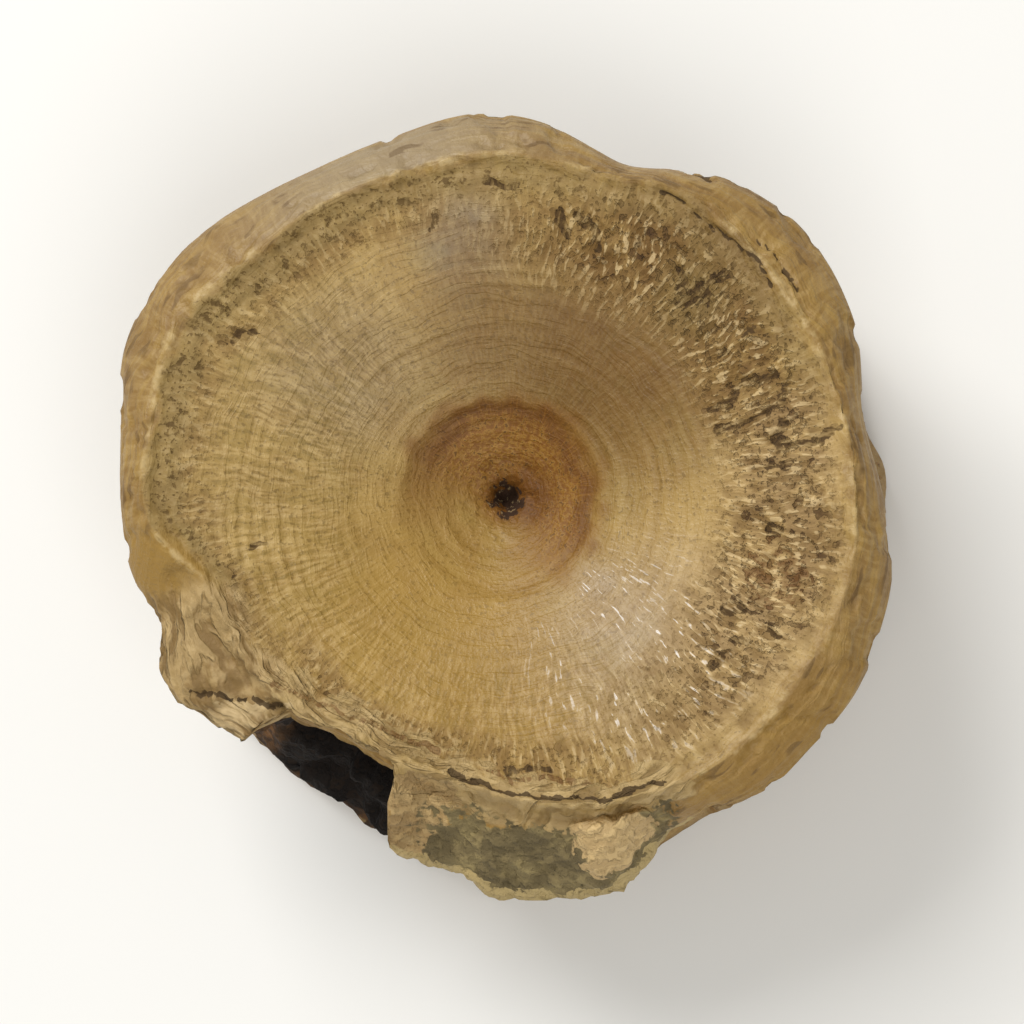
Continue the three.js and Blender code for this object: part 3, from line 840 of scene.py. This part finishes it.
# What is laid over it, in this order: colour, roughness, how much of them, and the masks and patterns that
# all have to be there. A name after "not " means where that one isn't.
FINISHES = [
    ("#726960", 0.40, 0.90, ["grey"]),
    ("#9A7830", 0.42, 0.95, ["ochre"]),
    # Painted sheen: paler and greyer where the key light shines off the cone's lower right.
    ("#A08F7A", 0.34, 0.78, ["painted_sheen"]),
    # Brown stain, and on the front's upper right partly painted shade.
    ("#5C3B02", 0.50, 1.00, ["umber_and_shade"]),
    ("#86662F", 0.46, 0.40, ["mottle"]),
    ("#867138", 0.46, 0.26, ["blotches", "not mottle"]),
    ("#C6A86E", 0.40, 0.20, ["rings", "not porous"]),
    ("#6B4C19", 0.50, 0.31, ["not rings", "not porous"]),
    ("#5E3E04", 0.50, 0.50, ["clear", "not rings"]),
    ("#7E5C2A", 0.48, 0.24, ["year_lines", "blotches", "not porous"]),
    ("#C7AC74", 0.42, 0.12, ["fibres", "not core"]),
    ("#8D7335", 0.48, 0.40, ["comb", "streaks"]),
    ("#C6AC74", 0.44, 0.30, ["comb", "fibres", "not streaks"]),
    ("#75602A", 0.52, 0.48, ["comb", "dashes"]),
    ("#5E481C", 0.50, 0.50, ["freckles", "not core"]),
    # More of the same brown, partly painted shade.
    ("#613E00", 0.50, 0.34, ["umber_and_shade"]),
    ("#A37B20", 0.44, 0.28, ["ochre"]),
    ("#7C4C02", 0.62, 0.88, ["core"]),
    # The core's dark middle and upper edge, partly painted shade.
    ("#5C3400", 0.62, 0.85, ["scorch_and_shade", "core"]),
    ("#4C2A05", 0.60, 0.45, ["core", "not rings"]),
    ("#A47C30", 0.50, 0.60, ["core", "grit", "not scorch_and_shade"]),
    ("#946722", 0.56, 0.36, ["core", "flecks"]),
    ("#452600", 0.70, 0.70, ["core", "freckles"]),
    ("#2B1704", 0.85, 0.92, ["pinhole"]),
    ("#8A7450", 0.70, 0.85, ["pinhole", "freckles"]),
    ("#A98A50", 0.70, 0.80, ["porous"]),
    ("#806030", 0.74, 0.60, ["porous", "not fibres"]),
    ("#64451A", 0.78, 0.62, ["porous", "mottle"]),
    # The open bone under the brown, partly painted shade.
    ("#5C3C08", 0.76, 0.45, ["porous", "umber_and_shade"]),
    ("#BDA070", 0.60, 0.42, ["bleached"]),
    ("#CFB584", 0.60, 0.60, ["porous", "flecks"]),
    # Painted highlight: white glints in the key light's sheen on the cone's lower right.
    ("#EDE7E0", 0.18, 0.75, ["painted_sheen", "painted_glints", "not blotches"]),
    ("#60430F", 0.85, 0.70, ["pores"]),
    ("#4F360C", 0.82, 0.32, ["porous", "dashes"]),
    ("#583C0E", 0.82, 0.50, ["porous", "freckles"]),
    ("#5C4218", 0.80, 0.30, ["porous", "specks"]),
    ("#442B08", 0.80, 0.90, ["porous", "specks", "mottle", "not fibres"]),
    # Dirt, and along the groove inside the crest partly painted shade.
    ("#806A3A", 0.66, 0.55, ["dirt_and_groove_shade"]),
    ("#513A0E", 0.80, 0.85, ["dirt_and_groove_shade", "specks", "not fibres"]),
    ("#5A4010", 0.80, 0.60, ["dirt_and_groove_shade", "freckles"]),
    ("#634A1E", 0.85, 0.45, ["smudge"]),
    ("#3F2A0A", 0.85, 0.85, ["smudge", "not fibres"]),
    ("#97773A", 0.46, 0.90, ["rim"]),
    ("#7A5B2E", 0.52, 0.55, ["rim", "rim_lines"]),
    ("#B79A64", 0.44, 0.30, ["rim", "fibres"]),
    ("#765628", 0.56, 0.34, ["rim", "mottle"]),
    ("#998A6F", 0.44, 0.60, ["rim", "grey"]),
    ("#94702A", 0.52, 0.60, ["rim", "ochre"]),
    ("#5A4220", 0.70, 0.55, ["rim", "rim_specks", "mottle"]),
    ("#957434", 0.48, 0.90, ["worn"]),
    ("#C6AD79", 0.46, 0.55, ["crest", "rough", "not mottle"]),
    ("#8F7345", 0.62, 0.88, ["ledge"]),
    ("#A88D58", 0.62, 0.80, ["broken"]),
    ("#6E5429", 0.70, 0.60, ["flaky", "layers"]),
    ("#BFA36F", 0.60, 0.42, ["flaky", "flakes"]),
    ("#BFA472", 0.56, 0.50, ["flaky", "rough", "not layers"]),
    # Painted highlight on the ledge's lower flake.
    ("#C7AE80", 0.50, 0.60, ["scrap", "not layers"]),
    ("#A48655", 0.52, 0.92, ["wall"]),
    ("#86703E", 0.56, 0.50, ["wall", "blotches"]),
    ("#BDA577", 0.50, 0.40, ["wall", "mottle"]),
    ("#846A38", 0.60, 0.40, ["wall", "fibres"]),
    ("#875F2B", 0.64, 0.62, ["stained"]),
    ("#9E8153", 0.74, 0.88, ["caked"]),
    ("#6A502C", 0.80, 0.45, ["caked", "rough"]),
    ("#4A3417", 0.80, 0.60, ["wall", "freckles", "mottle"]),
    ("#3E2B12", 0.82, 0.60, ["wall", "specks", "not blotches"]),
    ("#553716", 0.85, 0.95, ["arch"]),
    ("#805424", 0.80, 0.55, ["arch", "mottle"]),
    ("#2A1B0C", 0.90, 0.75, ["arch", "rough"]),
    ("#A98B5B", 0.72, 0.90, ["septum"]),
    ("#C2A570", 0.68, 0.60, ["septum", "layers"]),
    ("#66512F", 0.80, 0.35, ["septum", "rough"]),
    ("#7C6D48", 0.78, 0.95, ["stone"]),
    ("#584C30", 0.82, 0.50, ["stone", "mottle"]),
    ("#A99662", 0.72, 0.45, ["stone", "layers", "not mottle"]),
    ("#4C4128", 0.84, 0.45, ["stone", "rough"]),
    ("#B7A06B", 0.66, 0.85, ["crust"]),
    ("#CEB07A", 0.58, 0.95, ["plate"]),
    ("#94764A", 0.64, 0.40, ["plate", "rough"]),
    ("#6C4718", 0.66, 0.70, ["rust", "not fibres"]),
    ("#3F2C11", 0.85, 0.85, ["cracks"]),
    # Painted shade: the broken pit's inside coloured near black, with a few dark brown specks.
    ("#0B0603", 1.00, 0.97, ["hollow"]),
    ("#2E1E0C", 1.00, 0.30, ["hollow", "specks"]),
]

# Height of each pattern over the skin, in millimetres, and where it lies.
FINE_RELIEF = [
    (0.030, ["year_lines", "not porous"]),
    (0.090, ["porous", "fibres"]),
    (-0.120, ["porous", "freckles"]),
    (-0.150, ["porous", "specks"]),
    (0.022, ["grit"]),
    (-0.070, ["rim", "rim_lines"]),
    (-0.120, ["flaky", "layers"]),
    (0.150, ["flaky", "flakes"]),
    (0.080, ["wall", "fibres"]),
    (0.180, ["caked"]),
    (-0.180, ["coarse", "rough"]),
]

# The skin's material is made twice, for the cones and for all outside them, each time without the kinds
# that don't lie there. That halves the work of rendering it.
FRONT_CONE_END, BACK_CONE_START = 0.78, 4.15  # stops on the profile
ONLY_IN_CONES = {"core", "scorch_and_shade", "pinhole"}
ONLY_OUTSIDE = {
    "rim", "worn", "crest", "ledge", "broken", "flaky", "scrap", "wall", "stained", "caked", "arch", "septum",
    "stone", "crust", "plate", "hollow", "coarse",
}  # fmt: skip


def fossilised_cartilage(part, absent):
    """Fossilised calcified cartilage: hard, dense phosphate, stained by the ground and washed clean.

    Where the growth rings are whole it has a satin shine. Where they have weathered off, the fibrous
    inside shows, dull, pocked and speckled with brown."""
    material = bpy.data.materials.new(f"fossilised_cartilage_{part}")
    material.use_nodes = True
    tree = material.node_tree
    shader = tree.nodes["Principled BSDF"]

    place = add(tree, "ShaderNodeTexCoord", out="Object")
    coordinates = {
        "growth": add(tree, "ShaderNodeAttribute", out="Vector", attribute_name="growth"),
        "place": add(tree, "ShaderNodeVectorMath", {0: place, 3: 1 / MM}, operation="SCALE"),
    }
    amounts = {
        kind: add(tree, "ShaderNodeAttribute", out="Fac", attribute_name=kind) for kind in SURFACE_KINDS
    }
    noises = {}
    for name, (source, per_unit, detail) in NOISES.items():
        scaled = {0: coordinates[source], 1: per_unit}
        vector = add(tree, "ShaderNodeVectorMath", scaled, operation="MULTIPLY")
        noises[name] = add(tree, "ShaderNodeTexNoise", {"Vector": vector, "Scale": 1, "Detail": detail})
    for name, (source, low, high) in PATTERNS.items():
        levels = {"Value": noises[source], "From Min": low, "From Max": high}
        amounts[name] = add(tree, "ShaderNodeMapRange", levels, interpolation_type="SMOOTHSTEP")
    for kind, stray in RAGGED.items():
        strayed = {0: amounts["rough"], 1: stray, 2: amounts[kind]}
        strayed = add(tree, "ShaderNodeMath", strayed, operation="MULTIPLY_ADD")
        levels = {"Value": strayed, "From Min": EDGE_LOW + stray / 2, "From Max": EDGE_HIGH + stray / 2}
        amounts[kind] = add(tree, "ShaderNodeMapRange", levels, interpolation_type="SMOOTHSTEP")
    for name in [*amounts]:
        rest = add(tree, "ShaderNodeMath", {0: 1, 1: amounts[name]}, operation="SUBTRACT", use_clamp=True)
        amounts["not " + name] = rest

    def everywhere(names, most):
        """Where all the named masks and patterns are, times the most that it reaches."""
        amount = amounts[names[0]]
        for other in [*(amounts[name] for name in names[1:]), most]:
            amount = add(tree, "ShaderNodeMath", {0: amount, 1: other}, operation="MULTIPLY")
        return amount

    colour, roughness = linear(SOUND_COLOUR), SOUND_ROUGHNESS
    for finish_colour, finish_roughness, most, names in FINISHES:
        if absent.intersection(names):
            continue
        amount = everywhere(names, most)
        colours = {0: amount, 6: colour, 7: linear(finish_colour)}
        colour = add(tree, "ShaderNodeMix", colours, out=2, data_type="RGBA")
        roughness = add(tree, "ShaderNodeMix", {0: amount, 2: roughness, 3: finish_roughness})
    height = 0
    for most, names in FINE_RELIEF:
        if absent.intersection(names):
            continue
        more = {0: everywhere(names, most), 1: height}
        height = add(tree, "ShaderNodeMath", more, operation="ADD")
    normal = add(tree, "ShaderNodeBump", {"Height": height, "Distance": MM, "Strength": 1})

    tree.links.new(colour, shader.inputs["Base Color"])
    tree.links.new(roughness, shader.inputs["Roughness"])
    tree.links.new(normal, shader.inputs["Normal"])
    shader.inputs["IOR"].default_value = PHOSPHATE_IOR
    return material


def matt_studio_board():
    """Matt white-painted board, with no shine and no pattern of its own."""
    material = bpy.data.materials.new("matt_studio_board")
    material.use_nodes = True
    shader = material.node_tree.nodes["Principled BSDF"]
    shader.inputs["Base Color"].default_value = linear(BOARD_COLOUR)
    shader.inputs["Roughness"].default_value = BOARD_ROUGHNESS
    return material


# ---------------------------------------------------------------- the studio, in metres

DRUM_MIDDLE = Vector((0, 0, 0.016))
CAMERA_DISTANCE = 0.36
CAMERA_TILT = 8.5  # degrees off straight down
CAMERA_TURN = 322  # direction that it is tilted towards, counterclockwise from +X
LENS = 162
NEAREST, FURTHEST = 0.02, 20  # what the camera can see between
FLOOR_SIZE = 4
DAYLIGHT, DAYLIGHT_STRENGTH = "#F7F5F1", 0.47
BOARD_COLOUR, BOARD_ROUGHNESS = "#E9E8E4", 0.9


def towards(turn, up, distance):
    """A point so far from the drum's middle, in a direction round it and an angle above the floor."""
    turn, up = math.radians(turn), math.radians(up)
    flat = math.cos(up) * distance
    return DRUM_MIDDLE + Vector((flat * math.cos(turn), flat * math.sin(turn), math.sin(up) * distance))


def aim(thing, upward):
    """Points a camera or light at the drum's middle, with its top edge towards the given direction."""
    back = (thing.location - DRUM_MIDDLE).normalized()
    right = upward.cross(back).normalized()
    thing.rotation_euler = Matrix((right, back.cross(right), back)).transposed().to_euler()


def add_camera():
    camera = bpy.data.objects.new("camera", bpy.data.cameras.new("camera"))
    bpy.context.collection.objects.link(camera)
    camera.data.lens = LENS
    camera.data.clip_start, camera.data.clip_end = NEAREST, FURTHEST
    camera.location = towards(CAMERA_TURN, 90 - CAMERA_TILT, CAMERA_DISTANCE)
    aim(camera, Vector((0, 1, 0)))
    bpy.context.scene.camera = camera


def add_softbox(name, turn, up, distance, size, watts):
    lamp = bpy.data.lights.new(name, "AREA")
    lamp.shape, lamp.size, lamp.energy = "SQUARE", size, watts
    softbox = bpy.data.objects.new(name, lamp)
    bpy.context.collection.objects.link(softbox)
    softbox.location = towards(turn, up, distance)
    aim(softbox, Vector((0, 0, 1)))


def add_floor():
    mesh = bpy.data.meshes.new("floor")
    half = FLOOR_SIZE / 2
    corners = [(-half, -half, 0), (half, -half, 0), (half, half, 0), (-half, half, 0)]
    mesh.from_pydata(corners, [], [(0, 1, 2, 3)])
    mesh.materials.append(matt_studio_board())
    floor = bpy.data.objects.new("floor", mesh)
    bpy.context.collection.objects.link(floor)


def add_daylight():
    world = bpy.data.worlds.new("even_daylight")
    world.use_nodes = True
    background = world.node_tree.nodes["Background"]
    background.inputs["Color"].default_value = linear(DAYLIGHT)
    background.inputs["Strength"].default_value = DAYLIGHT_STRENGTH
    bpy.context.scene.world = world
    bpy.context.scene.view_settings.view_transform = "Standard"


add_camera()
add_daylight()
add_floor()
add_softbox("key_softbox", turn=122, up=48, distance=0.8, size=0.4, watts=3.9)
add_softbox("side_softbox", turn=140, up=38, distance=0.8, size=0.2, watts=0.9)
add_softbox("fill_softbox", turn=290, up=58, distance=0.9, size=0.6, watts=3.2)

vertebra = make_skin()
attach(vertebra, "root")
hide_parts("vertebra")
